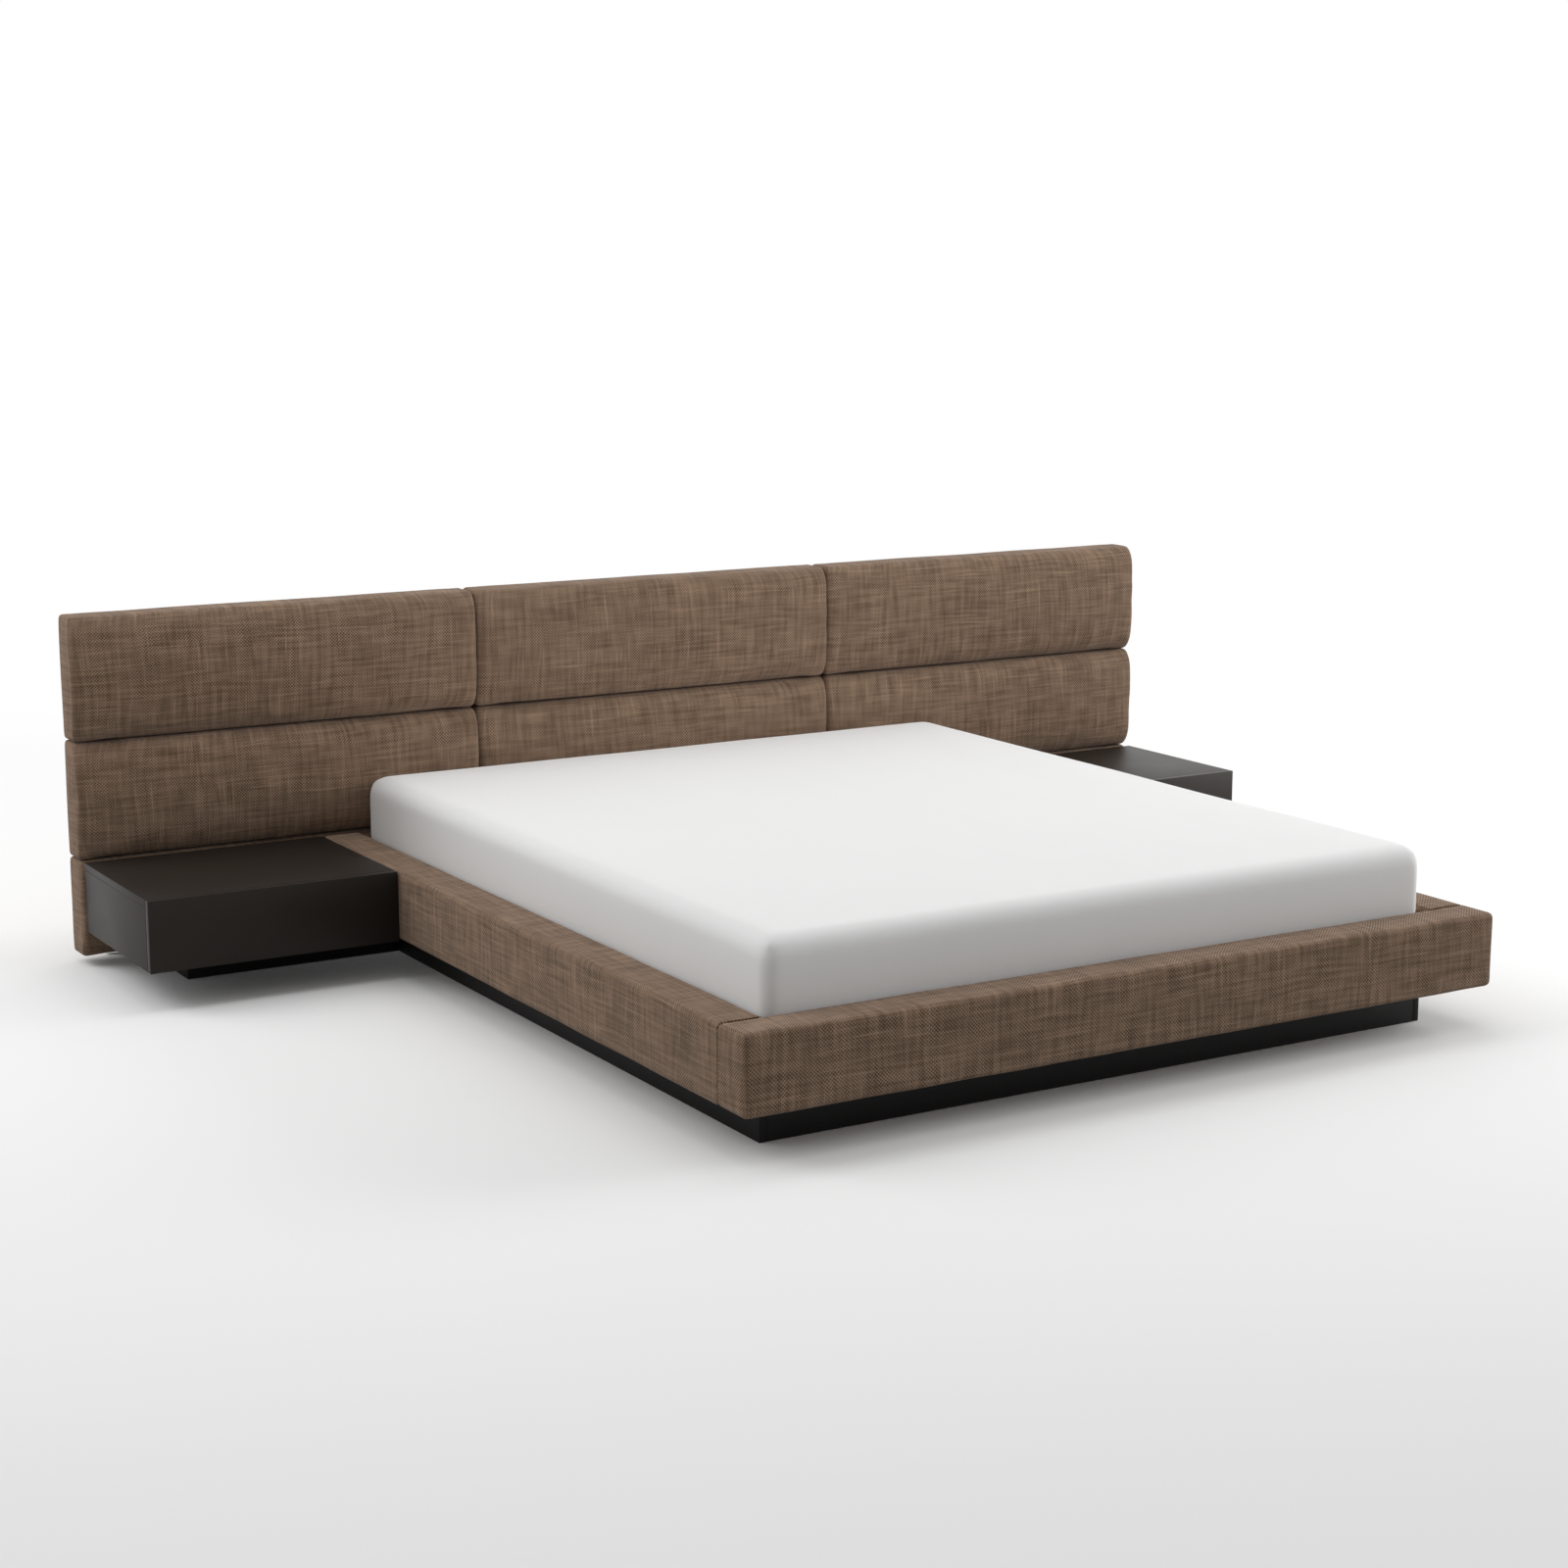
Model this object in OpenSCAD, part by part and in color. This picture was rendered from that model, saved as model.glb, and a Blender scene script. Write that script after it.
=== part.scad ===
// Low platform bed with an upholstered headboard and two attached nightstands.
// X runs across the bed, the foot is towards -Y, the headboard towards +Y, the floor is Z = 0.
// The origin is the centre of the footprint, on the floor.

/* [Mattress] */
// Width of the mattress
mattress_w = 1829; // [1370:1:2000]
// Length of the mattress
mattress_l = 2134; // [1900:1:2200]
// Thickness of the mattress at its edge
mattress_h = 264; // [160:1:340]
// Rise of the mattress top at its middle
mattress_crown = 6; // [0:1:20]
// Radius of the mattress's vertical corners
mattress_corner_r = 58; // [30:1:120]
// Radius of the mattress's top and bottom edges
mattress_edge_r = 44; // [15:1:60]
// How far the top edge of the mattress is drawn in
mattress_draw = 7; // [0:1:20]
// Gap between the mattress and the rails round it
mattress_gap = 8; // [4:1:30]
// Depth that the mattress sits below the top of the rails
mattress_sink = 111; // [60:1:120]

/* [Rails] */
// Width of each upholstered rail
rail_w = 110; // [90:1:180]
// Height of each upholstered rail
rail_h = 181; // [165:1:260]
// Radius of the rails' outer edges
rail_edge_r = 14; // [6:1:16]
// Thickness of foam and fabric on the rails
cover_t = 10; // [8:1:20]
// Thickness of the fabric fold under the rails
hem_t = 3; // [2:1:5]
// Thickness of the boards in the rails' cores
core_t = 18; // [12:1:25]

/* [Slat base] */
// Width of the bearers that carry the slats
bearer_w = 40; // [30:1:45]
// Thickness of the slats
slat_t = 20; // [15:1:25]
// Width of one slat
slat_w = 90; // [60:1:110]
// Number of slats
slat_count = 14; // [10:1:17]
// Gap between a slat's end and the mattress well's wall
slat_gap = 3; // [1:0.5:10]
// Gap between the first and last slats and the rails at foot and head
slat_end_gap = 20; // [10:1:40]
// Thickness of the head rail
head_rail_t = 22; // [18:1:40]
// Width of the centre beam
beam_w = 50; // [40:1:80]
// Number of legs under the centre beam
leg_count = 3; // [2:1:5]
// Radius of the legs under the centre beam
leg_r = 20; // [15:1:25]

/* [Plinth] */
// Height of the plinth
plinth_h = 100; // [80:1:150]
// Thickness of the plinth boards
plinth_t = 18; // [15:1:25]
// Setback of the bed's side plinths inside the walls of the mattress well
plinth_in = 0; // [0:1:10]
// Setback of the bed's foot plinth inside the well's foot wall
plinth_foot_in = 18; // [0:1:20]
// Gap between the plinth and the headboard pads
plinth_head_gap = 4; // [2:1:20]
// Setback of the nightstand's plinth from its drawer front
stand_plinth_front = 274; // [120:1:350]
// Setback of the nightstand's plinth from its outer side
stand_plinth_side = 184; // [60:1:300]

/* [Headboard] */
// Width of the whole headboard
headboard_w = 3384; // [3000:1:3700]
// Gap between neighbouring pads
pad_gap = 3; // [2:0.5:10]
// Height of the pads' lower edge above the floor
pad_floor_gap = 26; // [24:1:60]
// Height of a lower pad
pad_lower_h = 253; // [200:1:300]
// Height of a middle pad
pad_middle_h = 305; // [200:1:400]
// Height of an upper pad
pad_upper_h = 322; // [200:1:400]
// Thickness of the pads at their crown
pad_t = 106; // [60:1:140]
// Rise of a pad's face at its middle
pad_crown = 5; // [0:1:12]
// Radius of a pad's front edges
pad_edge_r = 26; // [10:1:40]
// Radius of a pad's corners
pad_corner_r = 22; // [10:1:40]
// Radius of a pad's back edges
pad_back_r = 6; // [3:1:12]
// Bulge of a pad's sides between its corners
pad_bulge = 1; // [0:0.5:1]
// Thickness of the backing panels
panel_t = 16; // [12:1:25]
// Setback of the backing panels from the edges of the pads
panel_inset = 20; // [2:1:30]
// Width of a headboard post
post_w = 90; // [60:1:140]
// Thickness of a headboard post
post_t = 18; // [15:1:40]
// Distance of the end posts from the ends of the headboard
post_end_inset = 90; // [40:1:200]
// Drop of the posts' tops below the top of the pads
post_top_drop = 60; // [30:1:200]
// Height of the glides under the posts and legs
glide_h = 6; // [3:1:12]
// Radius of the glides
glide_r = 7; // [5:1:7]

/* [Nightstands] */
// Depth of a nightstand from the headboard to its drawer front
stand_depth = 510; // [400:1:600]
// Setback of a nightstand's outer side from the end of the headboard
stand_inset = 6; // [0:1:60]
// Gap between a nightstand and the side rail
stand_gap = 2; // [1:0.5:6]
// Thickness of the nightstand's panels
stand_t = 18; // [15:1:25]
// Thickness of the nightstand's back
stand_back_t = 10; // [6:1:18]
// Thickness of the drawer front
front_t = 20; // [16:1:25]
// Gap between the drawer front and the panels behind it
front_gap = 2; // [1:0.5:4]
// Depth of the finger groove behind the front's lower edge
groove_d = 10; // [6:1:12]
// Distance of the finger groove's ends from the ends of the front
groove_end = 40; // [20:1:120]
// Room for fingers between the front and the bottom panel
finger_room = 24; // [18:1:40]

/* [Drawers] */
// Thickness of the drawer's sides and back
drawer_t = 14; // [12:1:18]
// Gap behind a closed drawer
drawer_rear_gap = 28; // [10:1:60]
// Thickness of the drawer's bottom
drawer_bottom_t = 6; // [4:1:9]
// Gap between the drawer and the panel below it
drawer_floor_gap = 7; // [4:1:12]
// Gap between the drawer and the panel above it
drawer_roof_gap = 15; // [8:1:30]
// Height of the drawer's bottom above the lower edge of its sides
drawer_bottom_up = 8; // [6:1:14]
// Depth of the groove that holds the drawer's bottom
drawer_groove = 6; // [4:1:8]
// Least gap behind the drawer runners
runner_rear_gap = 20; // [5:1:60]
// Step between the lengths that runners are made in
runner_size_step = 50; // [25:25:50]
// Height of the runners' fixed member
runner_h = 45; // [40:1:46]
// Thickness of a whole runner between nightstand and drawer
runner_t = 13; // [12:0.5:16]
// Thickness of the runners' steel
runner_wall = 1.3; // [1:0.1:1.5]
// Play between the runners' members
runner_play = 0.7; // [0.5:0.1:0.9]

/* [Hardware] */
// Radius of the frame bolts
bolt_r = 4; // [3:0.5:5]
// Radius of the bolts' heads
bolt_head_r = 7; // [6:0.5:9]
// Height of the bolts' heads
bolt_head_h = 4; // [3:0.5:5]
// Play of a bolt in its hole
bolt_play = 0.1; // [0.05:0.05:0.3]
// Number of bolts along each side bearer
bearer_bolts = 5; // [3:1:8]
// Number of bolts along the foot bearer
foot_bolts = 4; // [2:1:6]
// Length of each leg of a corner bracket
bracket_leg = 56; // [50:1:70]
// Thickness of the corner brackets
bracket_t = 3; // [2:0.5:5]
// Height of the corner brackets
bracket_h = 44; // [36:1:46]
// Thickness of the headboard straps
strap_t = 5; // [4:0.5:8]
// Height of the headboard straps
strap_h = 18; // [14:1:20]
// Length of a strap's flange on the plinth
strap_flange = 40; // [30:1:60]
// Radius of the headboard's screws
screw_r = 2.5; // [2:0.5:3]
// Radius of the screws' heads
screw_head_r = 5; // [4:0.5:6]
// Height of the screws' heads
screw_head_h = 3; // [2:0.5:4]
// Wood left in front of a screw's or bolt's tip
tip_cover = 3; // [1:0.5:5]

/* [Hidden] */
$fn = 48;
// Overrun of a cutting shape past the face that it cuts
over = 1;
// Clearance of a soft solid from its neighbour
soft_gap = 0.3;

// Heights
rail_top = plinth_h + rail_h;
deck_z = rail_top - mattress_sink;
bearer_top = deck_z - slat_t;
bearer_h = bearer_top - plinth_h;
pad_heights = [pad_lower_h, pad_middle_h, pad_upper_h];
headboard_top = pad_floor_gap + pad_lower_h + pad_middle_h + pad_upper_h + 2 * pad_gap;

// Places across the bed, measured from its middle
well_x = mattress_w / 2 + mattress_gap;
frame_x = well_x + rail_w;
core_in_x = well_x + cover_t;
core_out_x = frame_x - cover_t;
plinth_x = well_x - plinth_in;
bearer_x = core_in_x - bearer_w;
pad_w = (headboard_w - 2 * pad_gap) / 3;
pad_pitch = pad_w + pad_gap;

// Places along the bed
headboard_t = pad_t + panel_t + post_t;
frame_l = rail_w + 2 * mattress_gap + mattress_l;
foot_y = -(frame_l + headboard_t) / 2;
head_y = foot_y + frame_l;
well_foot_y = foot_y + rail_w;
foot_core_y = well_foot_y - cover_t;
foot_bearer_y = foot_core_y + bearer_w;
panel_y = head_y + pad_t;
post_y = panel_y + panel_t;
plinth_head_y = head_y - plinth_head_gap;
head_rail_y = plinth_head_y - head_rail_t;
plinth_foot_y = well_foot_y + plinth_foot_in;

// Gap between a corner bracket and the ends of the bearers
bracket_play = 6;
// Corner pocket left free for the brackets, between the ends of the bearers
pocket = bracket_leg + bracket_play;
core_h = rail_h - cover_t - hem_t;
core_z = plinth_h + hem_t;

// Posts: one near each end and one behind each joint between the panels
post_xs = [
    -headboard_w / 2 + post_end_inset + post_w / 2,
    -pad_pitch / 2,
    pad_pitch / 2,
    headboard_w / 2 - post_end_inset - post_w / 2
];
post_top = headboard_top - post_top_drop;
joint_post_x = pad_pitch / 2;
// Heights of the screws on a post, as shares of its length
post_screws = [0.15, 0.5, 0.85];
strap_z = (pad_floor_gap - strap_h) / 2;
strap_x = joint_post_x + post_w / 2;
strap_screw = [strap_x + (strap_flange + strap_t) / 2, plinth_head_y + strap_t, strap_z + strap_h / 2];
post_screw = [strap_x + strap_t, post_y + post_t / 2, strap_z + strap_h / 2];

// Nightstand, on the +X side
stand_x0 = frame_x + stand_gap;
stand_x1 = headboard_w / 2 - stand_inset;
stand_front_y = head_y - stand_depth;
stand_case_y = stand_front_y + front_t + front_gap;
stand_case_l = head_y - stand_case_y;
stand_in_x0 = stand_x0 + stand_t;
stand_in_x1 = stand_x1 - stand_t;
stand_floor_z = plinth_h + stand_t;
stand_roof_z = rail_top - stand_t;
drawer_x0 = stand_in_x0 + runner_t;
drawer_x1 = stand_in_x1 - runner_t;
drawer_y = stand_front_y + front_t;
drawer_z = stand_floor_z + drawer_floor_gap;
drawer_h = stand_roof_z - drawer_roof_gap - drawer_z;
drawer_l = stand_depth - front_t - stand_back_t - drawer_rear_gap;
drawer_bottom_z = drawer_z + drawer_bottom_up;
runner_z = drawer_z + drawer_h / 2;
runner_y = stand_case_y + runner_play;
runner_l = runner_size_step * floor((stand_case_l - stand_back_t - runner_rear_gap) / runner_size_step);
// Size that each runner member loses inside the one round it
runner_step = 2 * (runner_wall + runner_play);
// Lip of a runner channel short of the face opposite its web
runner_lip = 3;
stand_plinth_y = stand_front_y + stand_plinth_front;
stand_plinth_x = stand_x1 - stand_plinth_side;

// Bolts that hold a nightstand to the side rail, above the runner
stand_bolt_in = 90;
stand_bolt_ys = [stand_case_y + stand_bolt_in, head_y - stand_bolt_in];
stand_bolt_z = (runner_z + runner_h / 2 + stand_roof_z) / 2;
stand_bolt_grip = stand_t + stand_gap + cover_t + core_t - tip_cover;

// Centres of the bolts through the bearers
bearer_y0 = foot_core_y + pocket;
bearer_y1 = head_rail_y;
bolt_inset = 60;
bearer_bolt_z = plinth_h + bearer_h / 2;
bearer_bolt_ys = [for (i = [0 : bearer_bolts - 1])
    bearer_y0 + bolt_inset + i * (bearer_y1 - bearer_y0 - 2 * bolt_inset) / (bearer_bolts - 1)];
foot_bearer_x = core_in_x - pocket;
foot_bolt_xs = [for (i = [0 : foot_bolts - 1])
    -foot_bearer_x + bolt_inset + i * (2 * foot_bearer_x - 2 * bolt_inset) / (foot_bolts - 1)];
bracket_z = core_z;
bracket_bolt_z = bracket_z + bracket_h / 2;
// Distance of a bracket's bolts from its corner
bracket_bolt_u = bracket_leg - 1.6 * bolt_head_r;
// Depth of a bolt's thread in a core board
bolt_bite = core_t - tip_cover;
// Play at a bolt's tip
tip_play = 1;

// Legs under the centre beam, and the step in from a leg to its glide
leg_glide_in = 2;
beam_y0 = foot_bearer_y;
beam_l = head_rail_y - beam_y0;
leg_ys = [for (i = [0 : leg_count - 1]) beam_y0 + beam_l * (i + 0.5) / leg_count];

// Slats
slat_y0 = well_foot_y + slat_end_gap;
slat_y1 = head_rail_y - slat_end_gap;
slat_pitch = (slat_y1 - slat_y0 - slat_w) / (slat_count - 1);

// Names
columns = ["left", "centre", "right"];
rows = ["lower", "middle", "upper"];
sides = [-1, 1];
function side_name(s) = s < 0 ? "left" : "right";
function pad_name(c, r) = str("pad_", columns[c], "_", rows[r]);
function panel_name(c) = str("headboard_panel_", columns[c]);
SIDE_NODES = [
    "rail_core", "rail_cover", "bearer", "plinth", "stand_top", "stand_sides", "stand_bottom",
    "stand_back", "stand_plinth", "drawer_front", "drawer_sides", "drawer_back", "drawer_bottom",
    "runner_fixed", "runner_middle", "runner_drawer"
];
MIDDLE_NODES = [
    "foot_rail_core", "foot_rail_cover", "foot_bearer", "head_rail", "centre_beam", "centre_legs",
    "slats", "plinth_foot", "plinth_head", "corner_brackets", "frame_bolts", "headboard_posts",
    "headboard_straps", "headboard_screws", "glides", "mattress"
];

// Colours
fabric_colour = [0.42, 0.33, 0.26];
black_colour = [0.07, 0.07, 0.07];
espresso_colour = [0.13, 0.12, 0.12];
timber_colour = [0.80, 0.67, 0.48];
ply_colour = [0.74, 0.62, 0.45];
steel_colour = [0.62, 0.63, 0.65];
white_colour = [0.93, 0.93, 0.92];

// ---- Shared shapes ----

// Box between two corners
module span(low, high) {
    translate(low) cube(high - low);
}

// Draws its children at +X, or mirrored to -X
module on_side(s) {
    if (s > 0) children();
    else mirror([1, 0, 0]) children();
}

// Rectangle from the origin with four round corners
module round_rect(w, h, r) {
    translate([r, 0]) square([w - 2 * r, h]);
    translate([0, r]) square([w, h - 2 * r]);
    for (x = [r, w - r], y = [r, h - r]) translate([x, y]) circle(r);
}

// Shaft and head of a bolt or screw; the head's underside is at the origin, the shaft runs to +Z
module fastener(r, l, head_r, head_h) {
    translate([0, 0, -head_h]) cylinder(r = head_r, h = head_h);
    cylinder(r = r, h = l);
}

module frame_bolt(l) {
    fastener(bolt_r, l - tip_play, bolt_head_r, bolt_head_h);
}

module screw(l) {
    fastener(screw_r, l, screw_head_r, screw_head_h);
}

// Hole for a screw along +Z through a plate of thickness t
module screw_hole(t) {
    translate([0, 0, -over]) cylinder(r = screw_r + bolt_play, h = t + 2 * over);
}

// Hole for a frame bolt along +Z, open at both ends of its length
module bolt_hole(l) {
    translate([0, 0, -over]) cylinder(r = bolt_r + bolt_play, h = l + over);
}

// Places a bolt that runs outwards, to +X
module towards_side(p) {
    translate(p) rotate([0, 90, 0]) children();
}

// Places a bolt that runs towards the bed's middle, to -X
module towards_middle(p) {
    translate(p) rotate([0, -90, 0]) children();
}

// Places a bolt that runs to -Y
module towards_foot(p) {
    translate(p) rotate([90, 0, 0]) children();
}

// ---- Cushion form: rings of one rounded outline, from a flat back up to a crowned face ----

// One side of the outline from a to b, without its ends, swollen outwards along n
function side_points(a, b, n, count, bulge) = [for (i = [1 : count])
    let (t = i / (count + 1)) a + (b - a) * t + n * bulge * sin(180 * t)];

// Quarter turn round c from the angle a0
function corner_points(c, r, a0, count) = [for (i = [0 : count])
    c + r * [cos(a0 + 90 * i / count), sin(a0 + 90 * i / count)]];

// Outline of w by h, drawn in by inset
function outline(w, h, r, inset, corner_n, side_n, bulge) =
    let (
        x = w / 2 - inset,
        y = h / 2 - inset,
        q = max(r - inset, 3),
        c = [[x - q, y - q], [q - x, y - q], [q - x, q - y], [x - q, q - y]],
        n = [[0, 1], [-1, 0], [0, -1], [1, 0]],
        arcs = [for (k = [0 : 3]) corner_points(c[k], q, 90 * k, corner_n)]
    )
    [for (k = [0 : 3]) each concat(
        arcs[k],
        side_points(arcs[k][corner_n], arcs[(k + 1) % 4][0], n[k], side_n, bulge)
    )];

// Rings as [inset, height], from the back to where the crown starts
function cushion_rings(h, back_r, front_r, draw, steps) = concat(
    [for (i = [0 : 2]) [back_r * (1 - sin(45 * i)), back_r * (1 - cos(45 * i))]],
    [for (i = [0 : steps])
        [draw + front_r * (1 - cos(90 * i / steps)), h - front_r * (1 - sin(90 * i / steps))]]
);

// Crown of a pad that lies flat against the nightstands and the bed's frame
flat_crown = 0.5;

// Crown rings as [share of the last ring's size, share of the crown's height]
crown_steps = [[0.8, 0.36], [0.45, 0.8]];

module cushion(w, h, t, r, back_r, front_r, crown, draw, corner_n, side_n, bulge) {
    rings = cushion_rings(t - crown, back_r, front_r, draw, 4);
    last = rings[len(rings) - 1];
    rim = outline(w, h, r, last[0], corner_n, side_n, 0);
    n = len(rim);
    body_pts = [for (g = rings) for (p = outline(w, h, r, g[0], corner_n, side_n, bulge * (1 - g[1] / t)))
        [p[0], p[1], g[1]]];
    crown_pts = [for (g = crown_steps) for (p = rim)
        [p[0] * g[0], p[1] * g[0], last[1] + crown * g[1]]];
    pts = concat(body_pts, crown_pts, [[0, 0, 0], [0, 0, t]]);
    levels = len(rings) + len(crown_steps);
    walls = [for (k = [0 : levels - 2], i = [0 : n - 1])
        let (a = k * n + i, b = k * n + (i + 1) % n)
        each [[a, a + n, b], [b, a + n, b + n]]];
    back = [for (i = [0 : n - 1]) [levels * n, i, (i + 1) % n]];
    face = [for (i = [0 : n - 1])
        let (a = (levels - 1) * n)
        [levels * n + 1, a + (i + 1) % n, a + i]];
    polyhedron(points = pts, faces = concat(walls, back, face));
}

// ---- Headboard ----

function pad_base(r) = pad_floor_gap + (r > 0 ? pad_lower_h + pad_gap : 0) + (r > 1 ? pad_middle_h + pad_gap : 0);

module pad(c, r) {
    h = pad_heights[r];
    color(fabric_colour)
    translate([(c - 1) * pad_pitch, panel_y, pad_base(r) + h / 2])
    rotate([90, 0, 0])
    cushion(pad_w - 2 * pad_bulge, h - 2 * pad_bulge, pad_t - soft_gap, pad_corner_r, pad_back_r, pad_edge_r,
        r > 0 ? pad_crown : flat_crown, 0, 3, 3, pad_bulge);
}

module headboard_panel(c) {
    color(ply_colour)
    difference() {
        span([(c - 1) * pad_pitch - pad_w / 2 + panel_inset, panel_y, pad_floor_gap + panel_inset],
            [(c - 1) * pad_pitch + pad_w / 2 - panel_inset, post_y, headboard_top - panel_inset]);
        for (p = panel_screw_places()) towards_foot([p[0], post_y, p[1]])
            cylinder(r = screw_r + bolt_play, h = panel_t - tip_cover);
    }
}

// Places of the screws through the posts into the panels, as [x, z]
function panel_screw_places() = [
    for (i = [0 : 3], k = post_screws, side = (i == 1 || i == 2) ? [-1, 1] : [0])
    [post_xs[i] + side * post_w / 4, glide_h + (post_top - glide_h) * k]
];

module headboard_posts() {
    color(timber_colour)
    difference() {
        for (x = post_xs)
            span([x - post_w / 2, post_y, glide_h], [x + post_w / 2, post_y + post_t, post_top]);
        for (p = panel_screw_places()) towards_foot([p[0], post_y + post_t - screw_head_h, p[1]]) {
            cylinder(r = screw_r + bolt_play, h = post_t);
            translate([0, 0, -screw_head_h - over]) cylinder(r = screw_head_r + bolt_play, h = screw_head_h + over);
        }
        for (s = sides) on_side(s) towards_middle([strap_x, post_screw[1], post_screw[2]])
            translate([0, 0, -over]) cylinder(r = screw_r + bolt_play, h = post_w / 2 + over);
    }
}

// Flat bar on edge beside each joint post, with a flange on the plinth's head board
module headboard_straps() {
    color(steel_colour)
    for (s = sides) on_side(s) difference() {
        union() {
            span([strap_x, plinth_head_y, strap_z], [strap_x + strap_t, post_y + post_t, strap_z + strap_h]);
            span([strap_x, plinth_head_y, strap_z],
                [strap_x + strap_flange, plinth_head_y + strap_t, strap_z + strap_h]);
        }
        towards_foot(strap_screw) screw_hole(strap_t);
        towards_middle(post_screw) screw_hole(strap_t);
    }
}

module headboard_screws() {
    color(steel_colour) {
        for (p = panel_screw_places()) towards_foot([p[0], post_y + post_t - screw_head_h, p[1]])
            screw(post_t - screw_head_h + panel_t - tip_cover - tip_play);
        for (s = sides) on_side(s) {
            towards_foot(strap_screw) screw(strap_t + plinth_t - tip_cover - tip_play);
            towards_middle(post_screw) screw(strap_t + post_w / 2 - tip_play);
        }
    }
}

// Glides under the posts and the legs of the centre beam
module glides() {
    color(black_colour) {
        for (x = post_xs) translate([x, post_y + post_t / 2, 0]) cylinder(r = glide_r, h = glide_h);
        for (y = leg_ys) translate([0, y, 0]) cylinder(r = leg_r - leg_glide_in, h = glide_h);
    }
}

// ---- Rails ----

// Section of a side rail's cover: x from the well to the outside, z from the rail's underside
module cover_section() {
    difference() {
        round_rect(rail_w, rail_h, rail_edge_r);
        translate([cover_t, hem_t]) square([rail_w - 2 * cover_t, core_h]);
        translate([-over, -over]) square([cover_t + over, deck_z - plinth_h + over]);
    }
}

// Board box of a core, open along its middle, between two corners of its section
module core_section() {
    difference() {
        square([rail_w - 2 * cover_t, core_h]);
        translate([core_t, -over]) square([rail_w - 2 * cover_t - 2 * core_t, core_h - core_t + over]);
    }
}

// Sweeps a section along the side rail, from the foot rail to the headboard
module along_side(x, z) {
    translate([x, head_y, z]) rotate([90, 0, 0]) linear_extrude(head_y - well_foot_y) children();
}

module side_rail_core(s) {
    color(ply_colour)
    on_side(s) difference() {
        along_side(core_in_x, core_z) core_section();
        for (y = bearer_bolt_ys) towards_side([core_in_x, y, bearer_bolt_z]) bolt_hole(bolt_bite);
        towards_side([core_in_x, foot_core_y + bracket_bolt_u, bracket_bolt_z]) bolt_hole(bolt_bite);
        for (y = stand_bolt_ys) towards_middle([core_out_x, y, stand_bolt_z]) bolt_hole(bolt_bite);
    }
}

module side_rail_cover(s) {
    color(fabric_colour)
    on_side(s) difference() {
        along_side(well_x, plinth_h) cover_section();
        for (y = stand_bolt_ys) towards_side([core_out_x, y, stand_bolt_z]) bolt_hole(cover_t + over);
    }
}

// Sweeps a section across the foot rail; its x runs from the well towards the foot
module across_foot(x, y, z) {
    translate([x, y, z]) rotate([90, 0, -90]) linear_extrude(2 * x) children();
}

module foot_rail_core() {
    color(ply_colour)
    difference() {
        across_foot(core_out_x, foot_core_y, core_z) core_section();
        for (x = foot_bolt_xs) towards_foot([x, foot_core_y, bearer_bolt_z]) bolt_hole(bolt_bite);
        for (s = sides) on_side(s)
            towards_foot([core_in_x - bracket_bolt_u, foot_core_y, bracket_bolt_z]) bolt_hole(bolt_bite);
    }
}

module foot_rail_cover() {
    color(fabric_colour)
    difference() {
        intersection() {
            across_foot(frame_x, well_foot_y, plinth_h) round_rect(rail_w, rail_h, rail_edge_r);
            translate([-frame_x, foot_y, plinth_h]) linear_extrude(rail_h)
                round_rect(2 * frame_x, rail_w + 2 * rail_edge_r, rail_edge_r);
            translate([-frame_x, well_foot_y, plinth_h]) rotate([90, 0, 0]) linear_extrude(rail_w)
                round_rect(2 * frame_x, rail_h, rail_edge_r);
        }
        span([-core_out_x, foot_y + cover_t, core_z], [core_out_x, foot_core_y, core_z + core_h]);
        span([-core_in_x, foot_core_y - over, plinth_h - over], [core_in_x, well_foot_y + over, deck_z]);
    }
}

// ---- Slat base ----

module bearer(s) {
    color(timber_colour)
    on_side(s) difference() {
        span([bearer_x, bearer_y0, plinth_h], [core_in_x, bearer_y1, bearer_top]);
        for (y = bearer_bolt_ys) towards_side([bearer_x, y, bearer_bolt_z]) bolt_hole(bearer_w + over);
    }
}

module foot_bearer() {
    color(timber_colour)
    difference() {
        span([-foot_bearer_x, foot_core_y, plinth_h], [foot_bearer_x, foot_bearer_y, bearer_top]);
        for (x = foot_bolt_xs) towards_foot([x, foot_bearer_y, bearer_bolt_z]) bolt_hole(bearer_w + over);
    }
}

module head_rail() {
    color(timber_colour)
    span([-core_in_x, head_rail_y, plinth_h], [core_in_x, plinth_head_y, deck_z]);
}

module centre_beam() {
    color(timber_colour)
    span([-beam_w / 2, beam_y0, plinth_h], [beam_w / 2, beam_y0 + beam_l, bearer_top]);
}

module centre_legs() {
    color(black_colour)
    for (y = leg_ys) translate([0, y, glide_h]) cylinder(r = leg_r, h = plinth_h - glide_h);
}

module slats() {
    color(timber_colour)
    for (i = [0 : slat_count - 1])
        span([slat_gap - well_x, slat_y0 + i * slat_pitch, bearer_top],
            [well_x - slat_gap, slat_y0 + i * slat_pitch + slat_w, deck_z]);
}

module corner_brackets() {
    color(steel_colour)
    for (s = sides) on_side(s) difference() {
        union() {
            span([core_in_x - bracket_leg, foot_core_y, bracket_z],
                [core_in_x, foot_core_y + bracket_t, bracket_z + bracket_h]);
            span([core_in_x - bracket_t, foot_core_y, bracket_z],
                [core_in_x, foot_core_y + bracket_leg, bracket_z + bracket_h]);
        }
        towards_foot([core_in_x - bracket_bolt_u, foot_core_y + bracket_t, bracket_bolt_z]) bolt_hole(bracket_t + over);
        towards_side([core_in_x - bracket_t, foot_core_y + bracket_bolt_u, bracket_bolt_z]) bolt_hole(bracket_t + over);
    }
}

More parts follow.
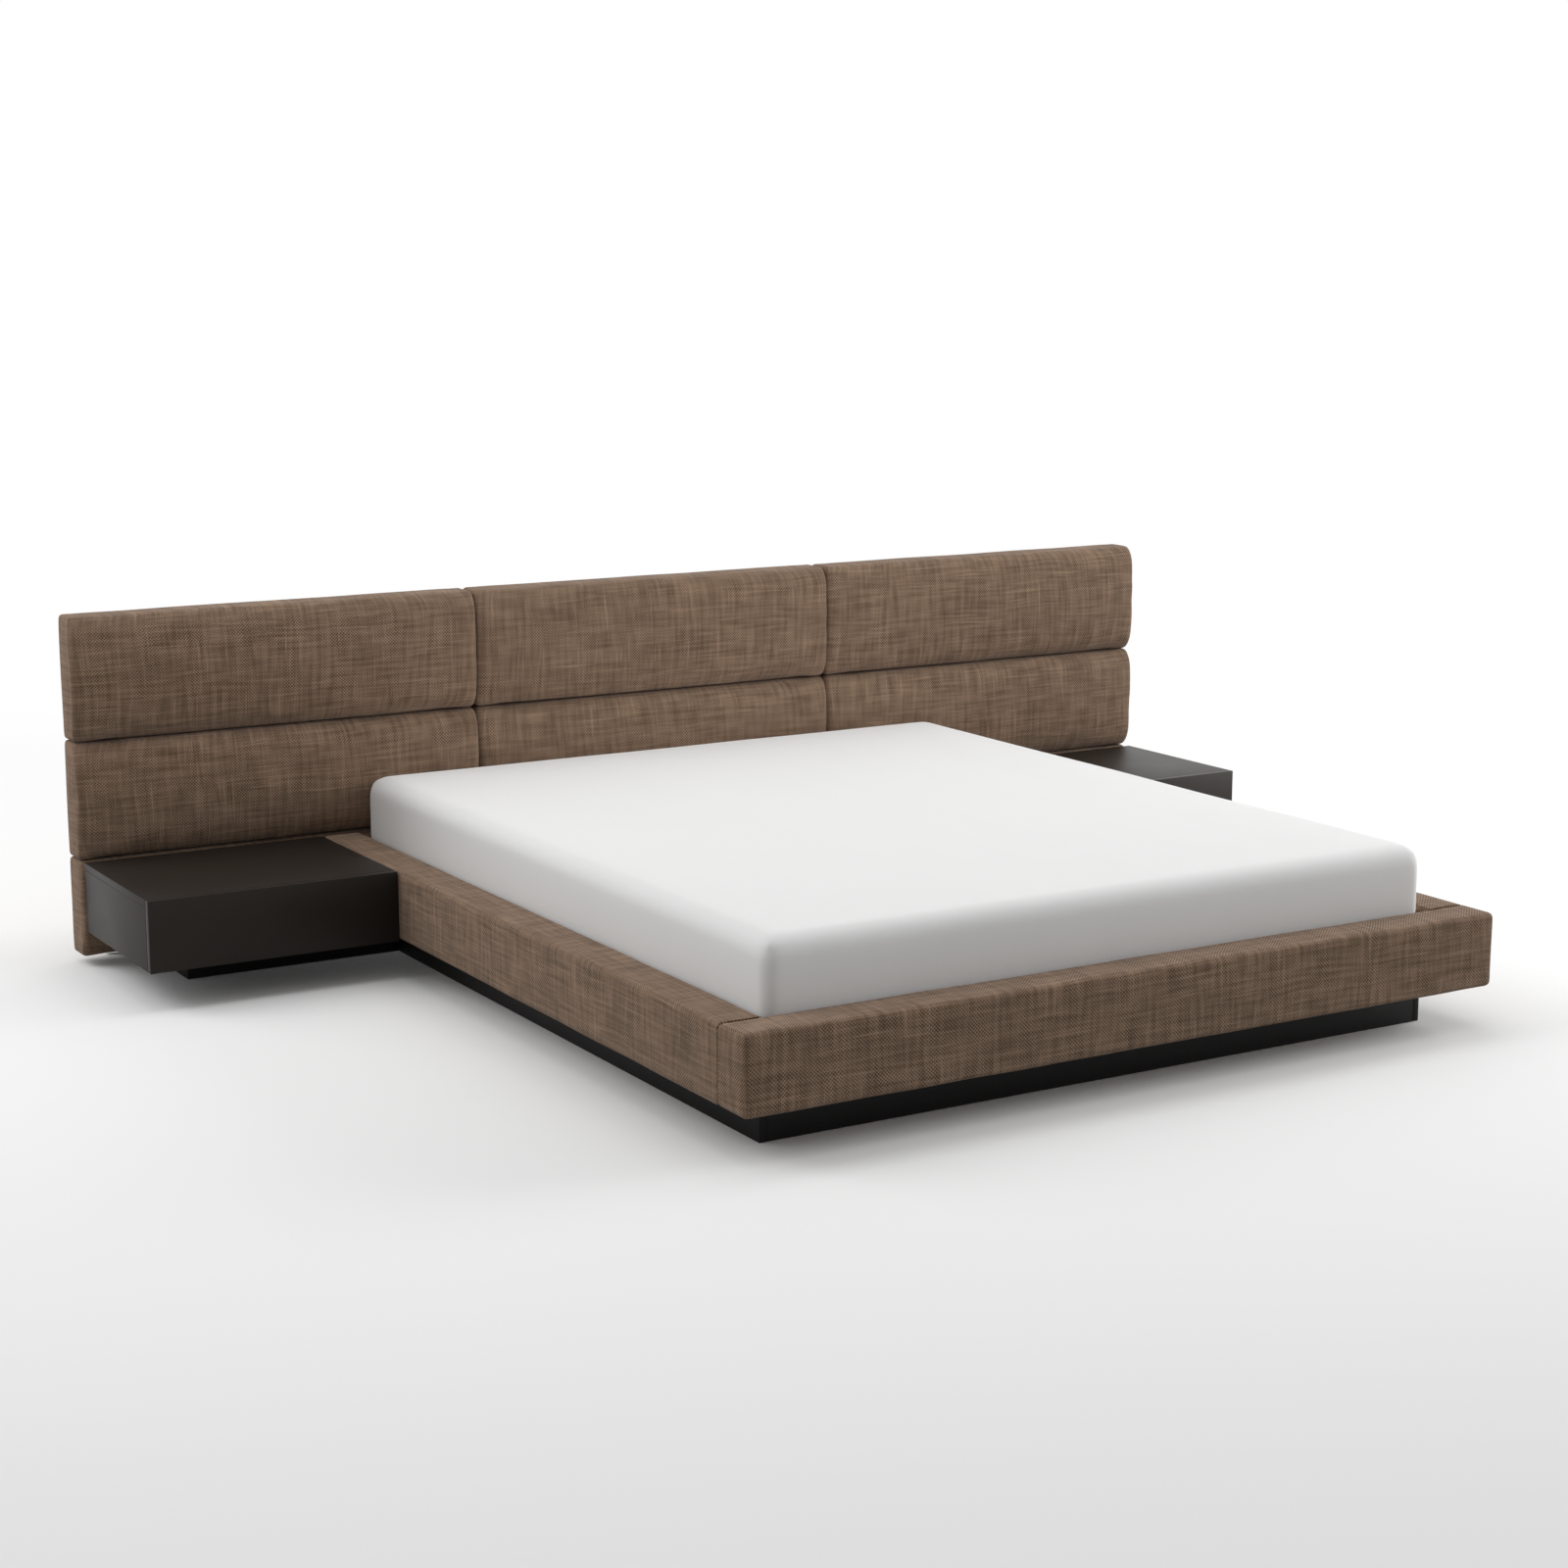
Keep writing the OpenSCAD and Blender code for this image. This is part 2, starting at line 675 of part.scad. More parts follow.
// All the bolts of the frame: bearers, corner brackets and nightstands
module frame_bolts() {
    color(steel_colour) {
        for (s = sides) on_side(s) {
            for (y = bearer_bolt_ys)
                towards_side([bearer_x, y, bearer_bolt_z]) frame_bolt(bearer_w + bolt_bite);
            towards_side([core_in_x - bracket_t, foot_core_y + bracket_bolt_u, bracket_bolt_z])
                frame_bolt(bracket_t + bolt_bite);
            towards_foot([core_in_x - bracket_bolt_u, foot_core_y + bracket_t, bracket_bolt_z])
                frame_bolt(bracket_t + bolt_bite);
            for (y = stand_bolt_ys)
                towards_middle([stand_in_x0, y, stand_bolt_z]) frame_bolt(stand_bolt_grip);
        }
        for (x = foot_bolt_xs) towards_foot([x, foot_bearer_y, bearer_bolt_z]) frame_bolt(bearer_w + bolt_bite);
    }
}

// ---- Plinths ----

module side_plinth(s) {
    color(black_colour)
    on_side(s) span([plinth_x - plinth_t, plinth_foot_y, 0], [plinth_x, plinth_head_y, plinth_h]);
}

module plinth_foot() {
    color(black_colour)
    span([plinth_t - plinth_x, plinth_foot_y, 0], [plinth_x - plinth_t, plinth_foot_y + plinth_t, plinth_h]);
}

module plinth_head() {
    color(black_colour)
    difference() {
        span([plinth_t - plinth_x, plinth_head_y - plinth_t, 0], [plinth_x - plinth_t, plinth_head_y, plinth_h]);
        for (s = sides) on_side(s)
            towards_foot([strap_screw[0], plinth_head_y, strap_screw[2]])
            cylinder(r = screw_r + bolt_play, h = plinth_t - tip_cover);
    }
}

module stand_plinth(s) {
    color(black_colour)
    on_side(s) {
        span([plinth_x, stand_plinth_y, 0], [stand_plinth_x, stand_plinth_y + plinth_t, plinth_h]);
        span([stand_plinth_x - plinth_t, stand_plinth_y + plinth_t, 0], [stand_plinth_x, plinth_head_y, plinth_h]);
    }
}

// ---- Nightstands ----

module stand_top(s) {
    color(espresso_colour)
    on_side(s) span([stand_x0, stand_case_y, stand_roof_z], [stand_x1, head_y, rail_top]);
}

module stand_sides(s) {
    color(espresso_colour)
    on_side(s) difference() {
        for (x = [stand_x0, stand_in_x1])
            span([x, stand_case_y, plinth_h], [x + stand_t, head_y, stand_roof_z]);
        for (y = stand_bolt_ys) towards_side([stand_x0, y, stand_bolt_z]) bolt_hole(stand_t + over);
    }
}

module stand_bottom(s) {
    color(espresso_colour)
    on_side(s) span([stand_in_x0, drawer_y + finger_room, plinth_h],
        [stand_in_x1, head_y - stand_back_t, stand_floor_z]);
}

module stand_back(s) {
    color(espresso_colour)
    on_side(s) span([stand_in_x0, head_y - stand_back_t, plinth_h], [stand_in_x1, head_y, stand_roof_z]);
}

// Full-height front, with a finger groove milled behind its lower edge
module drawer_front(s) {
    color(espresso_colour)
    on_side(s) difference() {
        span([stand_x0, stand_front_y, plinth_h], [stand_x1, drawer_y, rail_top]);
        span([stand_x0 + groove_end, drawer_y - groove_d, plinth_h - over],
            [stand_x1 - groove_end, drawer_y + over, stand_floor_z]);
    }
}

module drawer_sides(s) {
    color(timber_colour)
    on_side(s) difference() {
        for (x = [drawer_x0, drawer_x1 - drawer_t])
            span([x, drawer_y, drawer_z], [x + drawer_t, drawer_y + drawer_l, drawer_z + drawer_h]);
        drawer_bottom_space();
    }
}

// Room of the drawer's bottom, grooves included
module drawer_bottom_space() {
    span([drawer_x0 + drawer_t - drawer_groove, drawer_y, drawer_bottom_z],
        [drawer_x1 - drawer_t + drawer_groove, drawer_y + drawer_l, drawer_bottom_z + drawer_bottom_t]);
}

module drawer_back(s) {
    color(timber_colour)
    on_side(s) span([drawer_x0 + drawer_t, drawer_y + drawer_l - drawer_t, drawer_bottom_z + drawer_bottom_t],
        [drawer_x1 - drawer_t, drawer_y + drawer_l, drawer_z + drawer_h]);
}

module drawer_bottom(s) {
    color(ply_colour)
    on_side(s) drawer_bottom_space();
}

// ---- Drawer runners: three nested channels on each side of a drawer ----

// Channel of height h whose web starts at x = base and whose flanges reach to x = tip
module channel(base, tip, h) {
    web = base < tip ? base : base - runner_wall;
    low = min(base, tip);
    translate([web, runner_y, runner_z - h / 2]) cube([runner_wall, runner_l, h]);
    for (z = [runner_z - h / 2, runner_z + h / 2 - runner_wall])
        translate([low, runner_y, z]) cube([abs(tip - base), runner_l, runner_wall]);
}

// Draws its children at the inner side of a nightstand and mirrored at its outer side
module both_runners(s) {
    on_side(s) {
        translate([stand_in_x0, 0, 0]) children();
        translate([stand_in_x1, 0, 0]) mirror([1, 0, 0]) children();
    }
}

module runner_fixed(s) {
    color(steel_colour) both_runners(s) channel(0, runner_t - runner_lip, runner_h);
}

module runner_middle(s) {
    color(steel_colour) both_runners(s)
        channel(runner_step / 2, runner_t - runner_step / 2, runner_h - runner_step);
}

module runner_drawer(s) {
    color(steel_colour) both_runners(s)
        channel(runner_t, runner_step, runner_h - 2 * runner_step);
}

// ---- Mattress ----

module mattress() {
    color(white_colour)
    translate([0, well_foot_y + mattress_gap + mattress_l / 2, deck_z + soft_gap])
    cushion(mattress_w, mattress_l, mattress_h + mattress_crown, mattress_corner_r, mattress_edge_r / 2,
        mattress_edge_r, mattress_crown, mattress_draw, 5, 4, 0);
}

// ---- Assembly ----

for (c = [0 : 2], r = [0 : 2])
    pad(c, r);
for (c = [0 : 2])
    headboard_panel(c);
for (s = sides) {
    side_rail_core(s);
    side_rail_cover(s);
    bearer(s);
    side_plinth(s);
    stand_top(s);
    stand_sides(s);
    stand_bottom(s);
    stand_back(s);
    stand_plinth(s);
    drawer_front(s);
    drawer_sides(s);
    drawer_back(s);
    drawer_bottom(s);
    runner_fixed(s);
    runner_middle(s);
    runner_drawer(s);
}
foot_rail_core();
foot_rail_cover();
foot_bearer();
head_rail();
centre_beam();
centre_legs();
slats();
plinth_foot();
plinth_head();
corner_brackets();
frame_bolts();
headboard_posts();
headboard_straps();
headboard_screws();
glides();
mattress();
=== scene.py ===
"""The looks of a low platform bed with an upholstered headboard and a drawer nightstand on each side."""

import math

import bmesh
import bpy
import numpy as np
from mathutils import Matrix, Vector, noise


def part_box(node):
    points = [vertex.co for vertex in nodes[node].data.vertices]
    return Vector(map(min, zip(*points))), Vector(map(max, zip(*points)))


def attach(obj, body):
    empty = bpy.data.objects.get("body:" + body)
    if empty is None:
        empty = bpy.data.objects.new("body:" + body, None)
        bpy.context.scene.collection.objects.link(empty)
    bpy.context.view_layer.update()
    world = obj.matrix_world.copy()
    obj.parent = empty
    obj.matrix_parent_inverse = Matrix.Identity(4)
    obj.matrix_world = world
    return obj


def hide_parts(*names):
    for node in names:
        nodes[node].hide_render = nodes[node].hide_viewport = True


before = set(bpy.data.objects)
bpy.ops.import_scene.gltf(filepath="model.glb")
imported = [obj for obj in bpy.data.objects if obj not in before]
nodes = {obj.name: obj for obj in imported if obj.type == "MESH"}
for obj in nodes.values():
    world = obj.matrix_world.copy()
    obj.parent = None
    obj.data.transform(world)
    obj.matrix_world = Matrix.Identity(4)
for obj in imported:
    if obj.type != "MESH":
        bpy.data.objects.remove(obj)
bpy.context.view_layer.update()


# ---- The view ----
# The bed is seen from beyond its left foot corner, from just above a standing person's eyes, with a
# short telephoto lens on a square picture.

eye = (-3.750, -5.913, 1.838)
turn_right = math.radians(30.82)
look_down = math.radians(10.85)

bpy.ops.object.camera_add(location=eye, rotation=(math.pi / 2 - look_down, 0, -turn_right))
camera = bpy.context.object
camera.name = "camera"
camera.data.lens = 64.41
camera.data.sensor_width = 36
bpy.context.scene.camera = camera


# ---- The studio ----
# A white sweep that pales into its backdrop, soft light from the whole room, two soft boxes overhead,
# two to the left and one low on the right. None stands before the bed, so its foot is the darkest side.

bpy.context.scene.view_settings.view_transform = "Standard"


class Value:
    """A socket's value while a finish is made; Python's own signs add the maths nodes."""

    def __init__(self, finish, socket):
        self.finish = finish
        self.socket = socket

    def out(self, name):
        """Another output of the same node."""
        return Value(self.finish, self.socket.node.outputs[name])

    def maths(self, operation, *values):
        return self.finish.node("ShaderNodeMath", {"operation": operation}, dict(enumerate(values)))

    def __add__(self, other):
        return self.maths("ADD", self, other)

    def __sub__(self, other):
        return self.maths("SUBTRACT", self, other)

    def __rsub__(self, other):
        return self.maths("SUBTRACT", other, self)

    def __mul__(self, other):
        return self.maths("MULTIPLY", self, other)

    def __truediv__(self, other):
        return self.maths("DIVIDE", self, other)

    __radd__ = __add__
    __rmul__ = __mul__


class Finish:
    """A material, world or lamp tree being made, node by node."""

    def __init__(self, tree):
        self.tree = tree

    def node(self, kind, settings=None, sockets=None, output=0):
        """Adds a node, sets it, feeds its sockets with values or links, and gives one of its outputs."""
        made = self.tree.nodes.new(kind)
        for name, setting in (settings or {}).items():
            if name == "stops":
                self.set_stops(made.color_ramp, setting)
            else:
                setattr(made, name, setting)
        for name, value in (sockets or {}).items():
            self.feed(made.inputs[name], value)
        return Value(self, made.outputs[output]) if made.outputs else made

    def feed(self, socket, value):
        if isinstance(value, Value):
            self.tree.links.new(value.socket, socket)
        else:
            socket.default_value = value

    def set_stops(self, ramp, stops):
        """Sets a ramp's stops, each a place and a grey."""
        while len(ramp.elements) < len(stops):
            ramp.elements.new(1)
        for element, (position, grey) in zip(ramp.elements, stops):
            element.position = position
            element.color = (grey, grey, grey, 1)

    def blend(self, share, first, second):
        """A colour between two others. A colour mix takes them at inputs 6 and 7, and gives output 2."""
        return self.node(
            "ShaderNodeMix", {"data_type": "RGBA"}, {"Factor": share, 6: first, 7: second}, output=2
        )

    def ramp(self, value, *stops):
        """Greys between stops, each a place and a grey."""
        return self.node("ShaderNodeValToRGB", {"stops": stops}, {"Fac": value})

    def pass_over(self, value, start, end, first=0.0, last=1.0, curve="SMOOTHSTEP"):
        """Goes from a first value to a last one while the given value goes from start to end."""
        sockets = {"Value": value, "From Min": start, "From Max": end, "To Min": first, "To Max": last}
        return self.node("ShaderNodeMapRange", {"interpolation_type": curve}, sockets)

    def noise(self, at, scale, detail=2.0, stretch=(1, 1, 1), roughness=0.5):
        """Soft noise from 0 to 1, stretched along the axes."""
        placed = self.node("ShaderNodeMapping", None, {"Vector": at, "Scale": stretch})
        sockets = {"Vector": placed, "Scale": scale, "Detail": detail, "Roughness": roughness}
        return self.node("ShaderNodeTexNoise", {"normalize": True}, sockets)


def seen_by(finish, *kinds):
    """1 for rays of the given kinds, and 0 for the others."""
    ray = finish.node("ShaderNodeLightPath", output=kinds[0])
    seen = ray
    for kind in kinds[1:]:
        seen = seen.maths("MAXIMUM", seen, ray.out(kind))
    return seen


room_light = 0.41
white = (1, 1, 1, 1)
world = bpy.data.worlds.new("studio")
world.use_nodes = True
bpy.context.scene.world = world
room = Finish(world.node_tree)
walls = world.node_tree.nodes["Background"]
walls.inputs["Color"].default_value = white
walls.inputs["Strength"].default_value = room_light
# The camera, a mirror or glass sees a plain white backdrop. The walls light everything else.
backdrop = room.node("ShaderNodeBackground", None, {"Color": white, "Strength": 1.0})
seen = seen_by(room, "Is Camera Ray", "Is Glossy Ray", "Is Transmission Ray")
seen_room = room.node("ShaderNodeMixShader", None, {0: seen, 1: Value(room, walls.outputs[0]), 2: backdrop})
room.feed(world.node_tree.nodes["World Output"].inputs["Surface"], seen_room)


def deselect():
    bpy.ops.object.select_all(action="DESELECT")


def soft_box(name, place, aim, width, height, level):
    """A rectangular soft box; level is the light of its face, where 1 is a white wall in plain light."""
    deselect()
    bpy.ops.object.light_add(type="AREA", location=place)
    lamp = bpy.context.object
    lamp.name = name
    lamp.rotation_euler = (Vector(aim) - Vector(place)).to_track_quat("-Z", "Y").to_euler()
    lamp.data.shape = "RECTANGLE"
    lamp.data.size, lamp.data.size_y = width, height
    lamp.data.energy = level * math.pi * width * height


bed_middle = (0, 0, 0.4)
soft_box("overhead_box", (0.0, 0.5, 9.0), (0.0, 0.5, 0), width=7.0, height=7.0, level=0.77)
soft_box("headboard_strip", (0.0, 0.3, 4.2), (0.0, 0.3, 0), width=6.0, height=1.2, level=1.13)
soft_box("left_box", (-5.5, 4.0, 3.0), bed_middle, width=4.0, height=3.0, level=2.45)
soft_box("left_high_box", (-5.0, 2.0, 5.0), bed_middle, width=4.0, height=3.0, level=2.6)
soft_box("right_box", (6.5, -1.6, 2.4), bed_middle, width=5.0, height=3.6, level=5.6)
soft_box("rear_box", (5.0, 4.5, 3.2), bed_middle, width=5.0, height=3.6, level=0.44)

deselect()
floor_size = 80
bpy.ops.mesh.primitive_plane_add(size=floor_size, location=(0, 0, 0))
floor = bpy.context.object
floor.name = "floor"
floor_paint = bpy.data.materials.new("studio_sweep")
floor_paint.use_nodes = True
sweep = Finish(floor_paint.node_tree)
place = sweep.node("ShaderNodeTexCoord", output="Object")
# The floor lightens with its depth, which is how far a place lies from the camera along the view.
along_view = (math.sin(turn_right), math.cos(turn_right), 0)
depth = sweep.node(
    "ShaderNodeVectorMath", {"operation": "DOT_PRODUCT"}, {0: place, 1: along_view}, output="Value"
)
depth = depth - (eye[0] * along_view[0] + eye[1] * along_view[1])
near_grey, far_grey = 0.905, 0.975
floor_grey = sweep.pass_over(depth, 4.0, 7.5, near_grey, far_grey, curve="LINEAR")
# It pales to white where it is deep, and well away from the bed on every side, for views from elsewhere.
deep = sweep.pass_over(depth, 6.6, 11.5)
reach = sweep.node("ShaderNodeVectorMath", {"operation": "LENGTH"}, {0: place}, output="Value")
away = sweep.pass_over(reach, 3.8, 6.4)
fade = deep.maths("MAXIMUM", deep, away)
paint = floor_paint.node_tree.nodes["Principled BSDF"]
paint.inputs["Roughness"].default_value = 0.9
paint.inputs["Specular IOR Level"].default_value = 0.0
sweep.feed(paint.inputs["Base Color"], floor_grey)
glow = sweep.node("ShaderNodeEmission", None, {"Color": white, "Strength": 1.0})
# What the floor throws back at the object is duller than what the camera sees of it.
floor_bounce = 0.45
dull = sweep.node("ShaderNodeBsdfDiffuse", None, {"Color": (floor_bounce, floor_bounce, floor_bounce, 1)})
seen = seen_by(sweep, "Is Camera Ray", "Is Glossy Ray")
near_floor = sweep.node("ShaderNodeMixShader", None, {0: seen, 1: dull, 2: Value(sweep, paint.outputs[0])})
floor_mix = sweep.node("ShaderNodeMixShader", None, {0: fade * seen, 1: near_floor, 2: glow})
sweep.feed(floor_paint.node_tree.nodes["Material Output"].inputs["Surface"], floor_mix)
floor.data.materials.append(floor_paint)


# ---- Plinth ----
# Four boards of black lacquered wood stand on edge in a rectangle under the bed, and an L of two such
# boards stands under each nightstand. All are set well back, so the bed seems to float.


def choose(*pieces):
    """Makes these the only selected objects, and the first of them the active one."""
    deselect()
    for piece in pieces:
        piece.select_set(True)
    bpy.context.view_layer.objects.active = pieces[0]


def block(name, low, high):
    """A box between two corners, at the origin, with its place in its mesh."""
    deselect()
    low, high = Vector(low), Vector(high)
    bpy.ops.mesh.primitive_cube_add(size=1, location=(low + high) / 2, scale=high - low)
    bpy.ops.object.transform_apply(location=True, rotation=True, scale=True)
    piece = bpy.context.object
    piece.name = piece.data.name = name
    return piece


def select(piece, kind, wanted):
    """Opens a piece in edit mode with only the wanted vertices, edges or faces selected."""
    choose(piece)
    bpy.ops.object.mode_set(mode="EDIT")
    bpy.ops.mesh.select_mode(type=kind)
    bpy.ops.mesh.select_all(action="DESELECT")
    mesh = bmesh.from_edit_mesh(piece.data)
    for element in {"VERT": mesh.verts, "EDGE": mesh.edges, "FACE": mesh.faces}[kind]:
        if wanted(element):
            element.select_set(True)
    bmesh.update_edit_mesh(piece.data)


def close():
    """Leaves edit mode."""
    bpy.ops.object.mode_set(mode="OBJECT")


def apply(piece, modifier):
    """Turns what a modifier does into mesh."""
    choose(piece)
    bpy.ops.object.modifier_apply(modifier=modifier.name)


def soften(piece, radius, steps=2):
    """Rounds every sharp edge of a piece a little, as sandpaper and lacquer do."""
    bevel = piece.modifiers.new("soften", "BEVEL")
    bevel.width, bevel.segments = radius, steps
    bevel.limit_method = "ANGLE"
    bevel.angle_limit = math.radians(40)
    apply(piece, bevel)
    smooth(piece)


def smooth(piece, angle=35):
    """Shades a piece smooth, but for edges sharper than an angle in degrees."""
    choose(piece)
    bpy.ops.object.shade_smooth_by_angle(angle=math.radians(angle))


def finish_of(name):
    """A new material with its own tree, and its shader."""
    material = bpy.data.materials.new(name)
    material.use_nodes = True
    return material, Finish(material.node_tree), material.node_tree.nodes["Principled BSDF"]


def object_place(finish):
    """Where a point lies on the object, in metres."""
    return finish.node("ShaderNodeTexCoord", output="Object")


def bump(finish, shader, height, distance, strength=1.0):
    """Raises a surface where the height is great; a height of 1 stands as far out as the distance."""
    sockets = {"Height": height, "Distance": distance, "Strength": strength}
    finish.feed(shader.inputs["Normal"], finish.node("ShaderNodeBump", None, sockets))


def toned(colour, share):
    """A colour made lighter or darker, as a shader takes it."""
    return (*(share * part for part in colour), 1)


def lacquer(name, colour, sheen_low, sheen_high, reflectance, tint=(1, 1, 1)):
    """Sprayed lacquer: even colour, a faint cloudiness in its gloss, and a trace of the grain below."""
    material, finish, shader = finish_of(name)
    at = object_place(finish)
    cloud = finish.noise(at, 9.0, detail=3.0)
    grain = finish.noise(at, 60.0, detail=3.0, stretch=(0.06, 1, 1))
    tone = 0.5 * cloud + 0.5 * grain
    finish.feed(shader.inputs["Base Color"], finish.blend(tone, toned(colour, 0.82), toned(colour, 1.18)))
    gloss = sheen_low + (sheen_high - sheen_low) * cloud
    finish.feed(shader.inputs["Roughness"], gloss)
    bump(finish, shader, grain + 0.4 * finish.noise(at, 700.0, detail=1.0), distance=0.00006)
    shader.inputs["Specular IOR Level"].default_value = reflectance
    shader.inputs["Specular Tint"].default_value = (*tint, 1)
    return material


black_lacquer = lacquer("black_lacquer", (0.010, 0.009, 0.009), 0.48, 0.60, 0.18)


def dress(piece, material, slot, body, *stands_for):
    """Gives a piece its finish and the body that it moves with."""
    piece.data.materials.clear()
    piece.data.materials.append(material)
    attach(piece, body)
    if stands_for:
        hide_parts(*stands_for)


plinth_edge = 0.0018
plinth_board = 0.018

for node in ("left_plinth", "right_plinth", "plinth_foot", "plinth_head"):
    board = block(node + "_board", *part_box(node))
    soften(board, plinth_edge)
    dress(board, black_lacquer, "black_lacquer", "frame", node)

for side, out in (("left", -1), ("right", 1)):
    low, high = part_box(side + "_stand_plinth")
    board_back = low.y + plinth_board
    corner = block(side + "_stand_plinth_boards", low, (high.x, board_back, high.z))
    outer_x = (low, high)[out > 0].x
    select(corner, "FACE", lambda face: True)
    bpy.ops.mesh.bisect(plane_co=(outer_x - out * plinth_board, 0, 0), plane_no=(1, 0, 0))
    close()
    select(
        corner,
        "FACE",
        lambda face: face.normal.y > 0.5 and abs(face.calc_center_median().x - outer_x) < plinth_board,
    )
    bpy.ops.mesh.extrude_region_move(TRANSFORM_OT_translate={"value": (0, high.y - board_back, 0)})
    close()
    soften(corner, plinth_edge)
    dress(corner, black_lacquer, "black_lacquer", "frame", side + "_stand_plinth")


# ---- Slat base ----
# Planed pine: bearers bolted inside the rails, a head rail, a beam down the middle on three black
# plastic legs, and fourteen slats with rounded edges laid across. The mattress hides it all.


def timber(name, pale, dark, run, ring=34.0, gloss=0.55):
    """Planed softwood whose grain runs along one axis: growth rings, fine fibres and a little gloss."""
    material, finish, shader = finish_of(name)
    at = object_place(finish)
    stretch = [1, 1, 1]
    stretch[run] = 0.05
    wander = finish.noise(at, 3.0, detail=2.0, stretch=stretch)
    rings = finish.noise(at, ring, detail=1.0, stretch=stretch) + 0.8 * wander
    band = rings.maths("FRACT", rings * 5.0)
    late = finish.ramp(band, (0.0, 0.0), (0.72, 0.35), (0.95, 1.0), (1.0, 0.0))
    fibre = finish.noise(at, 420.0, detail=2.0, stretch=stretch)
    tone = late.maths("MINIMUM", 0.55 * late + 0.45 * fibre, 1.0)
    finish.feed(shader.inputs["Base Color"], finish.blend(tone, (*pale, 1), (*dark, 1)))
    finish.feed(shader.inputs["Roughness"], gloss + 0.15 * fibre)
    bump(finish, shader, fibre + 0.5 * late, distance=0.00012)
    return material


pine_pale = (0.70, 0.50, 0.29)
pine_dark = (0.42, 0.24, 0.10)
pine = [timber("pine_" + "xyz"[run], pine_pale, pine_dark, run) for run in range(3)]


def recoat(material, *names):
    """Gives CAD nodes a better finish."""
    for name in names:
        nodes[name].data.materials.clear()
        nodes[name].data.materials.append(material)


recoat(pine[0], "foot_bearer", "head_rail")
recoat(pine[1], "left_bearer", "right_bearer", "centre_beam")


def moulded_plastic(name, colour, gloss):
    """Black moulded plastic with the fine grain of its tool."""
    material, finish, shader = finish_of(name)
    at = object_place(finish)
    grain = finish.noise(at, 900.0, detail=2.0)
    finish.feed(shader.inputs["Base Color"], finish.blend(grain, toned(colour, 0.8), toned(colour, 1.25)))
    finish.feed(shader.inputs["Roughness"], gloss + 0.12 * grain)
    bump(finish, shader, grain, distance=0.0001)
    return material


recoat(moulded_plastic("black_plastic", (0.02, 0.02, 0.02), 0.5), "centre_legs", "glides")

slat_count = 14
slat_width = 0.090
slat_edge = 0.004
low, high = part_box("slats")
slat_pitch = (high.y - low.y - slat_width) / (slat_count - 1)
slats = []
for i in range(slat_count):
    near = low.y + i * slat_pitch
    slats.append(block(f"slat_{i + 1}", (low.x, near, low.z), (high.x, near + slat_width, high.z)))
choose(*slats)
bpy.ops.object.join()
slats[0].name = slats[0].data.name = "slat_set"
soften(slats[0], slat_edge, 3)
dress(slats[0], pine[0], "timber", "frame", "slats")


# ---- Rails ----
# A plywood box core wrapped in foam and a thick, slubby brown basket weave. The foot rail runs the full
# width, with its cloth folded round both ends; the side rails butt against it, which leaves a fine seam.

ply_pale = (0.62, 0.46, 0.28)
ply_dark = (0.50, 0.34, 0.19)
veneer = 0.0015


def plywood(name, layered):
    """Birch plywood: a quiet face grain, and darker glue lines along the axis of its thickness."""
    material, finish, shader = finish_of(name)
    at = object_place(finish)
    across = finish.node("ShaderNodeSeparateXYZ", None, {"Vector": at}, output=layered)
    glue = across.maths("FRACT", across / veneer)
    line = finish.ramp(glue, (0.0, 1.0), (0.12, 0.15), (0.5, 0.0), (0.52, 0.45), (1.0, 0.4))
    grain = finish.noise(at, 45.0, detail=4.0, stretch=(0.12, 0.12, 1))
    tone = 0.45 * line + 0.75 * grain - 0.12
    finish.feed(shader.inputs["Base Color"], finish.blend(tone, (*ply_pale, 1), (*ply_dark, 1)))
    finish.feed(shader.inputs["Roughness"], 0.58 + 0.12 * grain)
    bump(finish, shader, grain, distance=0.0001)
    return material


recoat(plywood("plywood_core", 0), "left_rail_core", "right_rail_core")
recoat(plywood("plywood_foot_core", 1), "foot_rail_core")


yarn = 0.0042
light_yarn = (0.365, 0.247, 0.168)
dark_yarn = (0.080, 0.048, 0.029)


